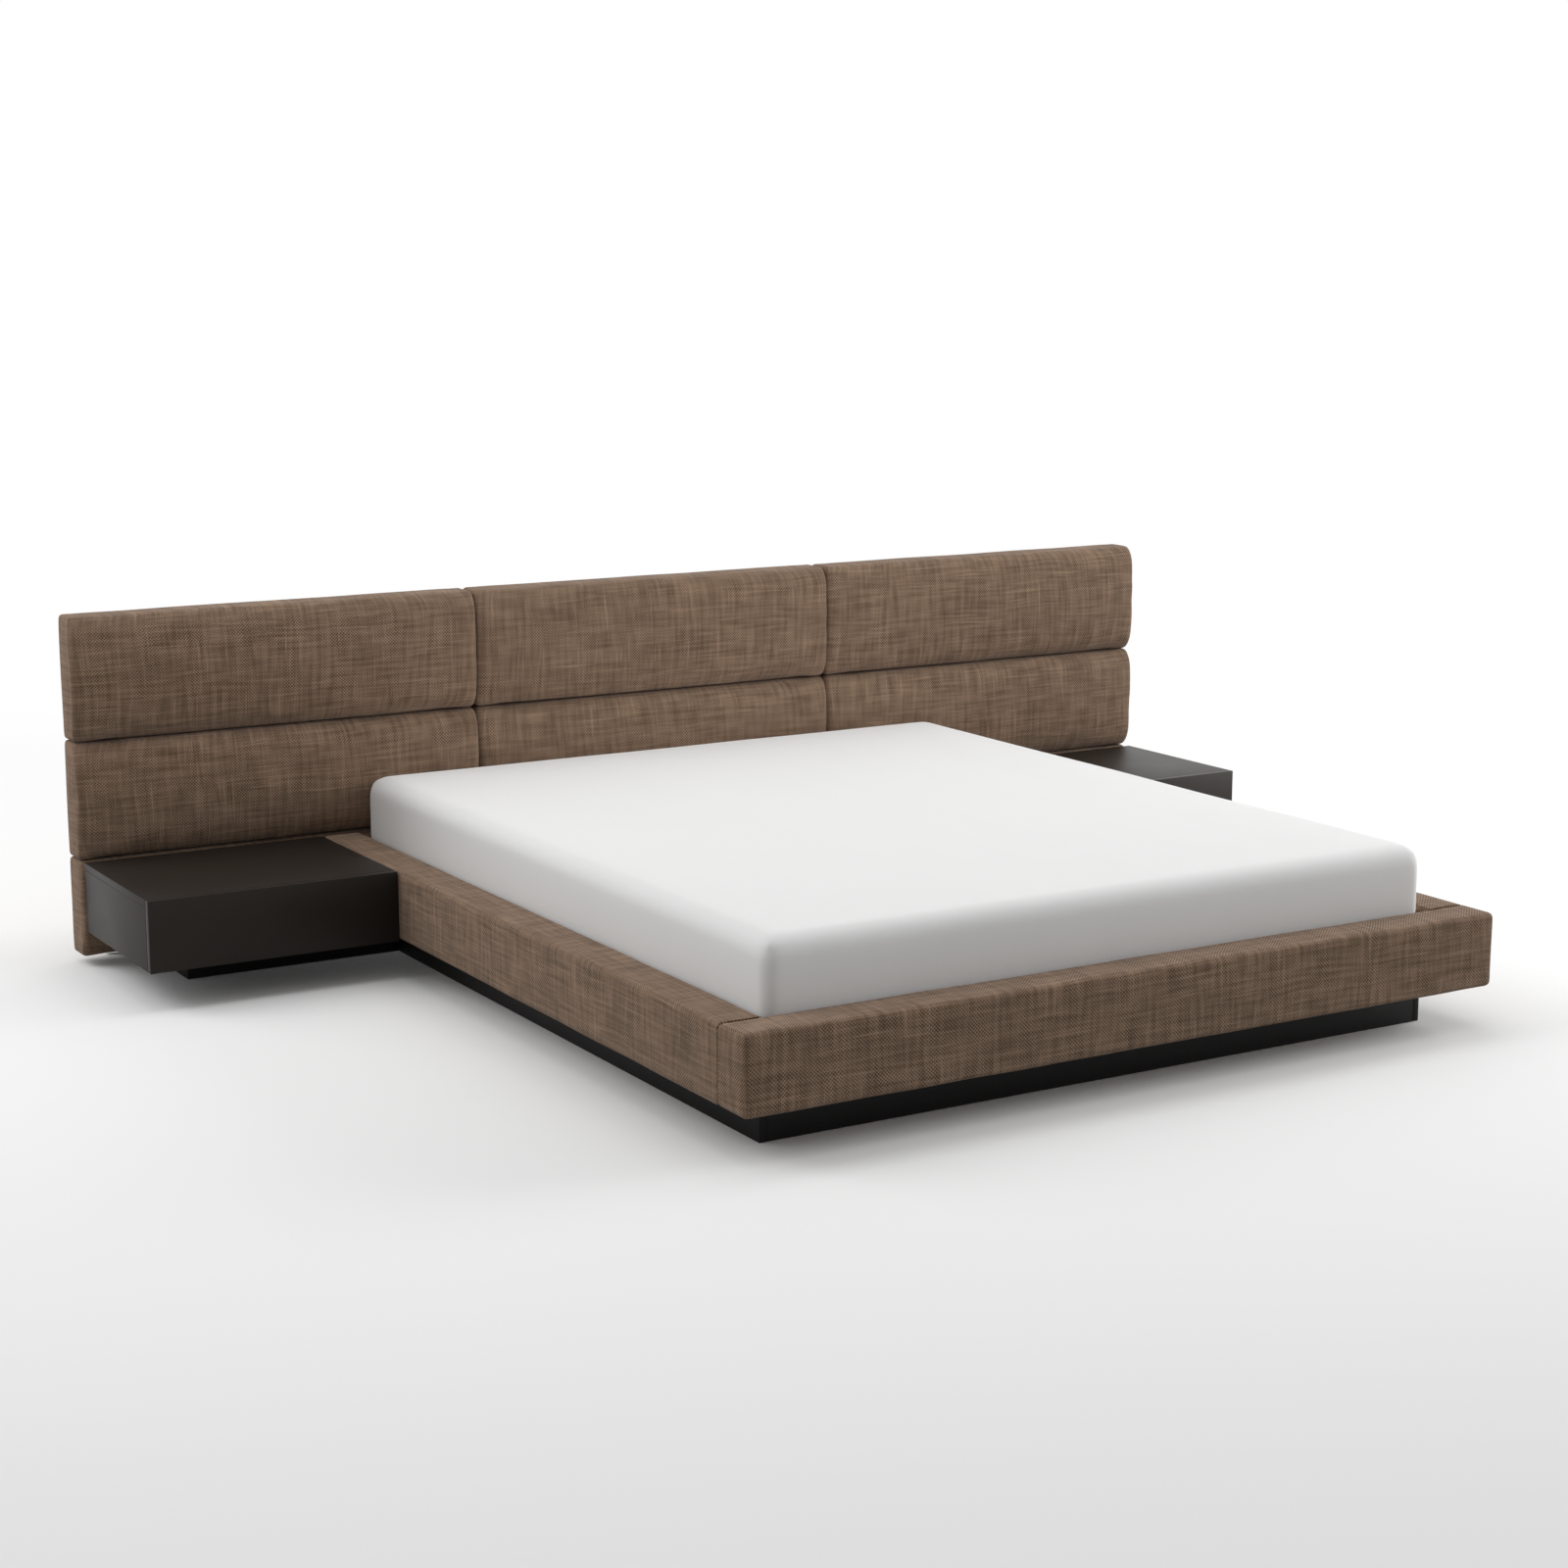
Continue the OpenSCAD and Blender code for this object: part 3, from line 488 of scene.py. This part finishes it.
def basket_weave(name):
    """The upholstery: crisp light crossings in dark gaps, faintly mottled, with a few thin pale slubs."""
    material, finish, shader = finish_of(name)
    laid = finish.node("ShaderNodeUVMap", {"uv_map": "cloth"})
    # The yarns wander a few millimetres from straight over a hand's width, and jitter from one to the next.
    wander_u, wander_v = 0.030, 0.012
    jitter_u, jitter_v = 0.0012, 0.0016
    bow_u = wander_u * (finish.noise(laid, 2.6, detail=1.0) - 0.5)
    bow_v = wander_v * (finish.noise(laid, 5.0, detail=1.0, stretch=(1.0, 0.7, 1.0)) - 0.5)
    jitter = finish.noise(laid, 55.0, detail=1.0) - 0.5
    u = finish.node("ShaderNodeSeparateXYZ", None, {"Vector": laid}, output="X")
    v = u.out("Y") + bow_v
    u = u + bow_u
    cloth = finish.node("ShaderNodeCombineXYZ", None, {"X": u, "Y": v})
    ends = u.maths("SINE", (u + jitter_u * jitter) * (math.pi / yarn))
    picks = v.maths("SINE", (v + jitter_v * jitter) * (math.pi / yarn))
    over = ends * picks
    # Paler and darker lengths of yarn run both ways, the cloth is mottled, and a rare yarn is a pale slub.
    lengths, yarns = 7.0, 0.5 / yarn
    weft = finish.noise(cloth, 1.0, detail=1.0, stretch=(lengths, yarns, 1))
    warp = finish.noise(cloth, 1.0, detail=1.0, stretch=(0.7 * yarns, lengths, 1))
    patch = finish.noise(cloth, 1.0, detail=3.0, stretch=(11, 17, 1), roughness=0.6)
    rare_across = finish.noise(cloth, 1.0, detail=0.0, stretch=(6.0, 1.6 * yarns, 1))
    rare_up = finish.noise(cloth, 1.0, detail=0.0, stretch=(1.6 * yarns, 7.0, 1))
    rare = rare_across.maths("MAXIMUM", rare_across, rare_up)
    slub = finish.ramp(rare, (0.0, 0.0), (0.68, 0.0), (0.77, 1.0), (1.0, 1.0))
    lift = 0.78 * (weft - 0.5) + 0.76 * (warp - 0.5) + 0.5 * (patch - 0.5) + 0.3 * slub
    tone = 0.455 + 0.58 * over + lift
    tone = tone.maths("MINIMUM", tone.maths("MAXIMUM", tone, 0.0), 1.0)
    finish.feed(shader.inputs["Base Color"], finish.blend(tone, (*dark_yarn, 1), (*light_yarn, 1)))
    shader.inputs["Roughness"].default_value = 0.92
    shader.inputs["Specular IOR Level"].default_value = 0.12
    shader.inputs["Sheen Weight"].default_value = 0.10
    shader.inputs["Sheen Roughness"].default_value = 0.5
    crest = over.maths("ABSOLUTE", over) + 0.6 * (weft - 0.5) + 0.6 * (warp - 0.5)
    bump(finish, shader, crest, distance=0.0009, strength=0.7)
    return material


brown_weave = basket_weave("brown_basket_weave")


def lay_cloth(piece, front, along, start=(0.0, 0.0)):
    """Writes the flat lay of the cloth as a UV map in metres: over the front, and folded round its edges."""
    mesh = piece.data
    front, along = Vector(front), Vector(along)
    corners = [vertex.co for vertex in mesh.vertices]
    face_at = max(front.dot(co) for co in corners)
    full = face_at - min(front.dot(co) for co in corners)
    ends = [min(along.dot(co) for co in corners), max(along.dot(co) for co in corners)]
    bottom, top = min(co.z for co in corners), max(co.z for co in corners)
    uv = (mesh.uv_layers.get("cloth") or mesh.uv_layers.new(name="cloth")).uv
    for face in mesh.polygons:
        towards = {"up": face.normal.z, "end": along.dot(face.normal), "front": front.dot(face.normal)}
        way = max(towards, key=lambda name: abs(towards[name]))
        for corner in face.loop_indices:
            co = mesh.vertices[mesh.loops[corner].vertex_index].co
            u, v, folded = along.dot(co), co.z, face_at - front.dot(co)
            if way == "up":
                v = top + folded if towards["up"] > 0 else bottom - folded
            elif way == "end":
                u = ends[1] + folded if towards["end"] > 0 else ends[0] - folded
            elif towards["front"] < 0:
                v = top + full + top - co.z
            uv[corner].vector = (u + start[0], v + start[1])


def round_over(piece, radius_of, steps):
    """Rounds edges, each with its own radius; radius_of gives an edge's radius from its two ends."""
    mesh = piece.data
    ends = [[mesh.vertices[i].co for i in edge.vertices] for edge in mesh.edges]
    radii = [radius_of(*pair) for pair in ends]
    widest = max(radii)
    weight = mesh.attributes.get("bevel_weight_edge")
    weight = weight or mesh.attributes.new("bevel_weight_edge", "FLOAT", "EDGE")
    weight.data.foreach_set("value", [radius / widest for radius in radii])
    bevel = piece.modifiers.new("round", "BEVEL")
    bevel.width, bevel.segments = widest, steps
    bevel.limit_method = "WEIGHT"
    apply(piece, bevel)


def divide(piece, axis, step):
    """Cuts the stretches that run along an axis into lengths of about one step."""
    lengths = []

    def runs_along(edge):
        run = edge.verts[1].co - edge.verts[0].co
        straight = abs(run[axis]) > 0.9999 * run.length and run.length > 2 * step
        if straight:
            lengths.append(run.length)
        return straight

    select(piece, "EDGE", runs_along)
    if lengths:
        bpy.ops.mesh.subdivide(number_cuts=max(1, round(max(lengths) / step) - 1))
    close()


def swell(piece, swing, lumps, seed):
    """Gives a soft piece the slight unevenness of foam under stretched cloth."""
    offset = Vector((seed * 3.7, seed * 1.3, seed * 5.1))
    outwards = [vertex.normal.copy() for vertex in piece.data.vertices]
    for vertex, normal in zip(piece.data.vertices, outwards):
        vertex.co += normal * swing * noise.noise(vertex.co * lumps + offset)


rail_round = 0.014
seam_round = 0.003
rail_step = 0.030
rail_cross_step = 0.020
rail_swing = 0.0012
rail_lumps = 7.0
foam = 0.0097
hem = 0.003
hair = 0.001
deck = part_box("slats")[1].z


def hollow(piece, open_here, bottom):
    """Opens a wrapped box where the bearers reach its core, and gives its wall the thickness of the foam."""
    select(piece, "FACE", lambda face: open_here(face.calc_center_median()))
    bpy.ops.mesh.delete(type="FACE")
    close()
    wall = piece.modifiers.new("foam", "SOLIDIFY")
    wall.thickness, wall.offset = foam, -1
    wall.use_even_offset = True
    apply(piece, wall)
    select(piece, "VERT", lambda vertex: abs(vertex.co.z - bottom - foam) < hair / 2)
    bpy.ops.transform.translate(value=(0, 0, hem - foam))
    close()


def cut(piece, place, normal):
    """One straight cut right through a piece's faces."""
    select(piece, "FACE", lambda face: True)
    bpy.ops.mesh.bisect(plane_co=place, plane_no=normal)
    close()


for side, out in (("left", -1), ("right", 1)):
    low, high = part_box(side + "_rail_cover")
    cover = block(side + "_rail_wrap", low, high)
    lay_cloth(cover, (out, 0, 0), (0, 1, 0), start=(0.7 * out, 0.0))
    lengthwise = 0.9 * (high.y - low.y)
    round_over(cover, lambda a, b: rail_round if abs((a - b).y) > lengthwise else seam_round, 4)
    divide(cover, 1, rail_step)
    divide(cover, 2, rail_cross_step)
    divide(cover, 0, rail_cross_step)
    swell(cover, rail_swing, rail_lumps, out)
    inner = (low, high)[out < 0].x
    core_x = inner + out * foam
    cut(cover, (core_x, 0, 0), (1, 0, 0))
    cut(cover, (0, 0, deck), (0, 0, 1))
    low_end, high_end = low.y + hair / 2, high.y - hair / 2
    hollow(
        cover,
        lambda c: (c.z < deck and (c.x - core_x) * out < 0) or not low_end < c.y < high_end,
        low.z,
    )
    smooth(cover, 50)
    dress(cover, brown_weave, "brown_fabric", "frame", side + "_rail_cover")

low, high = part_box("foot_rail_cover")
cover = block("foot_rail_wrap", low, high)
lay_cloth(cover, (0, -1, 0), (1, 0, 0), start=(0.31, 0.52))
round_over(
    cover,
    lambda a, b: seam_round if min(a.y, b.y) > high.y - hair and abs((a - b).x) < hair else rail_round,
    4,
)
divide(cover, 0, rail_step)
divide(cover, 1, rail_cross_step)
divide(cover, 2, rail_cross_step)
swell(cover, rail_swing, rail_lumps, 4)
well_x = abs(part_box("right_rail_cover")[0].x) + foam
core_y = high.y - foam
for x in (-well_x, well_x):
    cut(cover, (x, 0, 0), (1, 0, 0))
cut(cover, (0, core_y, 0), (0, 1, 0))
cut(cover, (0, 0, deck), (0, 0, 1))
hollow(cover, lambda c: c.z < deck and c.y > core_y and abs(c.x) < well_x, low.z)
smooth(cover, 50)
dress(cover, brown_weave, "brown_fabric", "frame", "foot_rail_cover")


# ---- Frame fittings ----
# Angle brackets inside the two foot corners, bolts through the bearers and nightstands, and the screws
# and straps of the headboard: all bright zinc-plated steel.


def zinc(name):
    """Zinc plating: cool grey crystals, slightly brushed, with a soft metallic gloss."""
    material, finish, shader = finish_of(name)
    at = object_place(finish)
    crystal = finish.node("ShaderNodeTexVoronoi", None, {"Vector": at, "Scale": 160.0}, output="Color")
    cloud = finish.noise(at, 40.0, detail=3.0)
    fleck = finish.node("ShaderNodeSeparateColor", None, {"Color": crystal})
    tone = 0.5 * fleck + 0.5 * cloud
    finish.feed(
        shader.inputs["Base Color"], finish.blend(tone, (0.50, 0.52, 0.55, 1), (0.72, 0.73, 0.74, 1))
    )
    finish.feed(shader.inputs["Roughness"], 0.28 + 0.2 * cloud)
    shader.inputs["Metallic"].default_value = 1.0
    bump(finish, shader, fleck, distance=0.00003)
    return material


zinc_plate = zinc("zinc_plate")
recoat(zinc_plate, "corner_brackets", "frame_bolts", "headboard_straps", "headboard_screws")
recoat(
    zinc_plate,
    *(f"{side}_runner_{part}" for side in ("left", "right") for part in ("fixed", "middle", "drawer")),
)


# ---- Headboard frame ----
# Three plywood panels side by side carry the pads. Four pine posts behind them stand on the floor,
# stained black so that their feet don't show under the pads.

recoat(plywood("plywood_panel", 1), *(f"headboard_panel_{c}" for c in ("left", "centre", "right")))
recoat(timber("stained_pine", (0.030, 0.027, 0.024), (0.014, 0.012, 0.010), 2), "headboard_posts")


# ---- Headboard pads ----
# Nine boxes of foam in three rows, each wrapped in the basket weave and fixed to the panel behind it. The
# cloth is drawn tight round the edges to the back, so the front crowns and its long edges fall well back.

# The long front edges are rounded this far up the front and this deep, and the front stands this proud.
pad_edge = 0.052
pad_edge_deep = 0.026
pad_crown = 0.011
pad_end_crown = 0.004
pad_end_round = 0.014
pad_back_round = 0.006
pad_step = 0.014
# Rows press into each other, the front starts behind the solid's, and columns meet over a flat seam.
pad_press = 0.0018
pad_inset = 0.012
pad_touch = 0.0012
pad_reach = 0.006
pad_swing = 0.0012
pad_lumps = 6.0


def settle(piece, held, pressure, reach, frames=20):
    """Lets a closed form fill out as simulated cloth under pressure, then scales that down to its reach."""
    mesh = piece.data
    start = np.empty(3 * len(mesh.vertices), np.float32)
    mesh.vertices.foreach_get("co", start)
    start = start.reshape(-1, 3)
    group = piece.vertex_groups.new(name="held")
    group.add([i for i, co in enumerate(start) if held(co)], 1.0, "REPLACE")
    cloth = piece.modifiers.new("cloth", "CLOTH")
    cloth.settings.quality = 4
    cloth.settings.mass = 0.4
    cloth.settings.tension_stiffness = 40
    cloth.settings.compression_stiffness = 40
    cloth.settings.shear_stiffness = 20
    cloth.settings.bending_stiffness = 2.0
    cloth.settings.vertex_group_mass = "held"
    cloth.settings.use_pressure = True
    cloth.settings.uniform_pressure_force = pressure
    cloth.settings.effector_weights.gravity = 0
    cloth.collision_settings.use_collision = False
    scene = bpy.context.scene
    for step in range(1, frames + 1):
        scene.frame_set(step)
    apply(piece, cloth)
    end = np.empty(3 * len(mesh.vertices), np.float32)
    piece.data.vertices.foreach_get("co", end)
    move = end.reshape(-1, 3) - start
    furthest = np.linalg.norm(move, axis=1).max()
    piece.data.vertices.foreach_set("co", (start + move * reach / furthest).ravel())
    piece.data.update()
    piece.vertex_groups.clear()
    scene.frame_set(1)


def make_pad(row):
    """The left pad of a row: a crowned bar of foam, rounded over above and below, then round its ends."""
    low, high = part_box(f"pad_left_{row}")
    front, back = low.y + pad_inset, high.y
    press = Vector((0, 0, pad_press))
    pad = block(f"pad_left_{row}_cover", Vector((low.x, front, low.z)) - press, high + press)
    lay_cloth(pad, (0, -1, 0), (1, 0, 0))
    round_over(
        pad, lambda a, b: pad_edge if max(a.y, b.y) < front + hair and abs((a - b).x) > pad_step else 0, 6
    )
    tall = high.z - low.z
    cuts = round((tall - 2 * pad_edge) / pad_step)
    for i in range(cuts + 1):
        cut(pad, (0, 0, low.z + pad_edge + i * (tall - 2 * pad_edge) / cuts), (0, 0, 1))
    for vertex in pad.data.vertices:
        if vertex.co.y < front + pad_edge + hair / 2:
            vertex.co.y = front + (vertex.co.y - front) * pad_edge_deep / pad_edge
        forward = (back - vertex.co.y) / (back - front)
        from_middle = 2 * (vertex.co.z - low.z) / tall - 1
        vertex.co.y -= pad_crown * forward * max(0, 1 - from_middle**2)

    def end_radius(a, b):
        if min(a.y, b.y) > back - hair:
            return pad_back_round
        outer = min(abs(a.x - low.x), abs(a.x - high.x)) < hair and abs(a.x - b.x) < hair
        inside = abs(a.z - b.z) < hair / 10 and low.z + hair < a.z < high.z - hair
        return pad_end_round if outer and not inside else 0

    round_over(pad, end_radius, 4)
    cuts = round((back - front - pad_edge_deep - 2 * pad_end_round) / pad_step)
    for i in range(cuts + 1):
        cut(pad, (0, front + pad_edge_deep + pad_end_round + i * pad_step, 0), (0, 1, 0))
    divide(pad, 0, pad_step)
    # Only the last hand's width of each end bulges outwards, most of all halfway up.
    for vertex in pad.data.vertices:
        forward = min(1, 2 * (back - vertex.co.y) / (back - front))
        from_middle = 2 * (vertex.co.z - low.z) / tall - 1
        outward = 2 * (vertex.co.x - low.x) / (high.x - low.x) - 1
        vertex.co.x += pad_end_crown * outward**31 * forward * max(0, 1 - from_middle**4)
    settle(pad, lambda co: co[1] > back - hair, pressure=4.0, reach=pad_reach)
    return pad


def refine(piece):
    """Subdivides a soft piece once, and shades it smooth."""
    fine = piece.modifiers.new("fine", "SUBSURF")
    fine.levels = fine.render_levels = 1
    apply(piece, fine)
    smooth(piece, 80)


def finish_pad(pad, column, row, number):
    """Flattens a pad where it meets the next one, shifts its cloth so that no two match, and smooths it."""
    low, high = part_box(f"pad_{column}_{row}")
    for vertex in pad.data.vertices:
        if column != "left":
            vertex.co.x = max(vertex.co.x, low.x - pad_touch)
        if column != "right":
            vertex.co.x = min(vertex.co.x, high.x + pad_touch)
    for corner in pad.data.uv_layers["cloth"].uv:
        corner.vector += Vector((1.37 * number, 0.83 * number))
    swell(pad, pad_swing, pad_lumps, number)
    refine(pad)
    dress(pad, brown_weave, "brown_fabric", "frame", f"pad_{column}_{row}")


for number, row in enumerate(("lower", "middle", "upper")):
    pads = {"left": make_pad(row)}
    for column in ("centre", "right"):
        pad = pads["left"].copy()
        pad.data = pad.data.copy()
        bpy.context.scene.collection.objects.link(pad)
        pad.name = pad.data.name = f"pad_{column}_{row}_cover"
        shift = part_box(f"pad_{column}_{row}")[0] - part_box(f"pad_left_{row}")[0]
        pad.data.transform(Matrix.Translation(shift))
        pads[column] = pad
    for place, (column, pad) in enumerate(pads.items()):
        finish_pad(pad, column, row, 3 * number + place)


# ---- Nightstands ----
# Each is a case of espresso lacquered boards, closed in front by a full-height drawer front without a
# handle, which stands a hair in front of the case. Its top is level with the rail beside it.

espresso = lacquer("espresso_lacquer", (0.013, 0.010, 0.008), 0.42, 0.50, 0.21, tint=(1.0, 0.95, 0.90))
arris = 0.0013
panel = 0.018
groove_in = 0.010
groove_up = 0.018
groove_end = 0.040

for side in ("left", "right"):
    for part in ("stand_top", "stand_bottom", "stand_back"):
        board = block(f"{side}_{part}_board", *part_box(f"{side}_{part}"))
        soften(board, arris)
        dress(board, espresso, "espresso_lacquer", "frame", f"{side}_{part}")

    low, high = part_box(side + "_stand_sides")
    near = block(side + "_stand_side_boards", low, (low.x + panel, high.y, high.z))
    far = block("far_board", (high.x - panel, low.y, low.z), high)
    choose(near, far)
    bpy.ops.object.join()
    soften(near, arris)
    dress(near, espresso, "espresso_lacquer", "frame", side + "_stand_sides")

    low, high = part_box(side + "_drawer_front")
    front = block(side + "_drawer_face", low, high)
    slot = block(
        "slot",
        (low.x + groove_end, high.y - groove_in, low.z - groove_up),
        (high.x - groove_end, high.y + groove_in, low.z + groove_up),
    )
    groove = front.modifiers.new("groove", "BOOLEAN")
    groove.operation, groove.solver = "DIFFERENCE", "EXACT"
    groove.object = slot
    apply(front, groove)
    bpy.data.objects.remove(slot)
    soften(front, arris)
    dress(front, espresso, "espresso_lacquer", side + "_drawer", side + "_drawer_front")


# ---- Drawers ----
# Clear lacquered birch sides and back stand on a thin plywood bottom. Each drawer hangs on two steel
# runners screwed inside the case, and its front is screwed to it from within.

birch_pale = (0.66, 0.52, 0.34)
birch_dark = (0.55, 0.40, 0.23)
birch = timber("drawer_birch", birch_pale, birch_dark, 1, ring=20.0, gloss=0.32)
birch_back = timber("drawer_birch_back", birch_pale, birch_dark, 0, ring=20.0, gloss=0.32)
ply_bottom = plywood("plywood_bottom", 2)
for side in ("left", "right"):
    recoat(birch, side + "_drawer_sides")
    recoat(birch_back, side + "_drawer_back")
    recoat(ply_bottom, side + "_drawer_bottom")


# ---- Mattress ----
# A thick foam mattress in smooth white knitted ticking, with generous soft edges and no piping. It fills
# out a little in the middle of its sides, and lies loose on the slats.


rib = 0.0014


def ticking(name):
    """White knit: fine ribs of loops, almost no gloss, and the faintest unevenness of tone."""
    material, finish, shader = finish_of(name)
    cloth = finish.node("ShaderNodeUVMap", {"uv_map": "cloth"})
    u = finish.node("ShaderNodeSeparateXYZ", None, {"Vector": cloth}, output="X")
    loops = u.maths("SINE", u * (math.pi / rib)) * u.maths("SINE", u.out("Y") * (math.pi / rib))
    cloud = finish.noise(cloth, 6.0, detail=3.0)
    tone = 0.5 + 0.12 * loops + 0.6 * (cloud - 0.5)
    finish.feed(
        shader.inputs["Base Color"], finish.blend(tone, (0.81, 0.81, 0.808, 1), (0.85, 0.85, 0.845, 1))
    )
    shader.inputs["Roughness"].default_value = 0.85
    shader.inputs["Specular IOR Level"].default_value = 0.2
    shader.inputs["Sheen Weight"].default_value = 0.05
    bump(finish, shader, loops, distance=0.0002, strength=0.35)
    return material


mattress_round = 0.047
mattress_corner = 0.034
mattress_under = 0.030
mattress_in = 0.003
mattress_step = 0.045
mattress_up_step = 0.025
mattress_swing = 0.0015
mattress_lumps = 2.5
low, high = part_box("mattress")
mattress = block(
    "mattress_cover", low + Vector((mattress_in, mattress_in, 0)), high - Vector([mattress_in] * 3)
)
lay_cloth(mattress, (0, 0, 1), (1, 0, 0))


def mattress_radius(a, b):
    """Its own radius for the four corners, the edges above and the edges below."""
    if abs((a - b).z) > hair:
        return mattress_corner
    return mattress_round if a.z > (low.z + high.z) / 2 else mattress_under


round_over(mattress, mattress_radius, 6)
for axis, step in enumerate((mattress_step, mattress_step, mattress_up_step)):
    divide(mattress, axis, step)
underside = low.z + 0.004
settle(mattress, lambda co: co[2] < underside, pressure=6.0, reach=0.006)
swell(mattress, mattress_swing, mattress_lumps, 2)
refine(mattress)
dress(mattress, ticking("white_ticking"), "white_ticking", "mattress", "mattress")
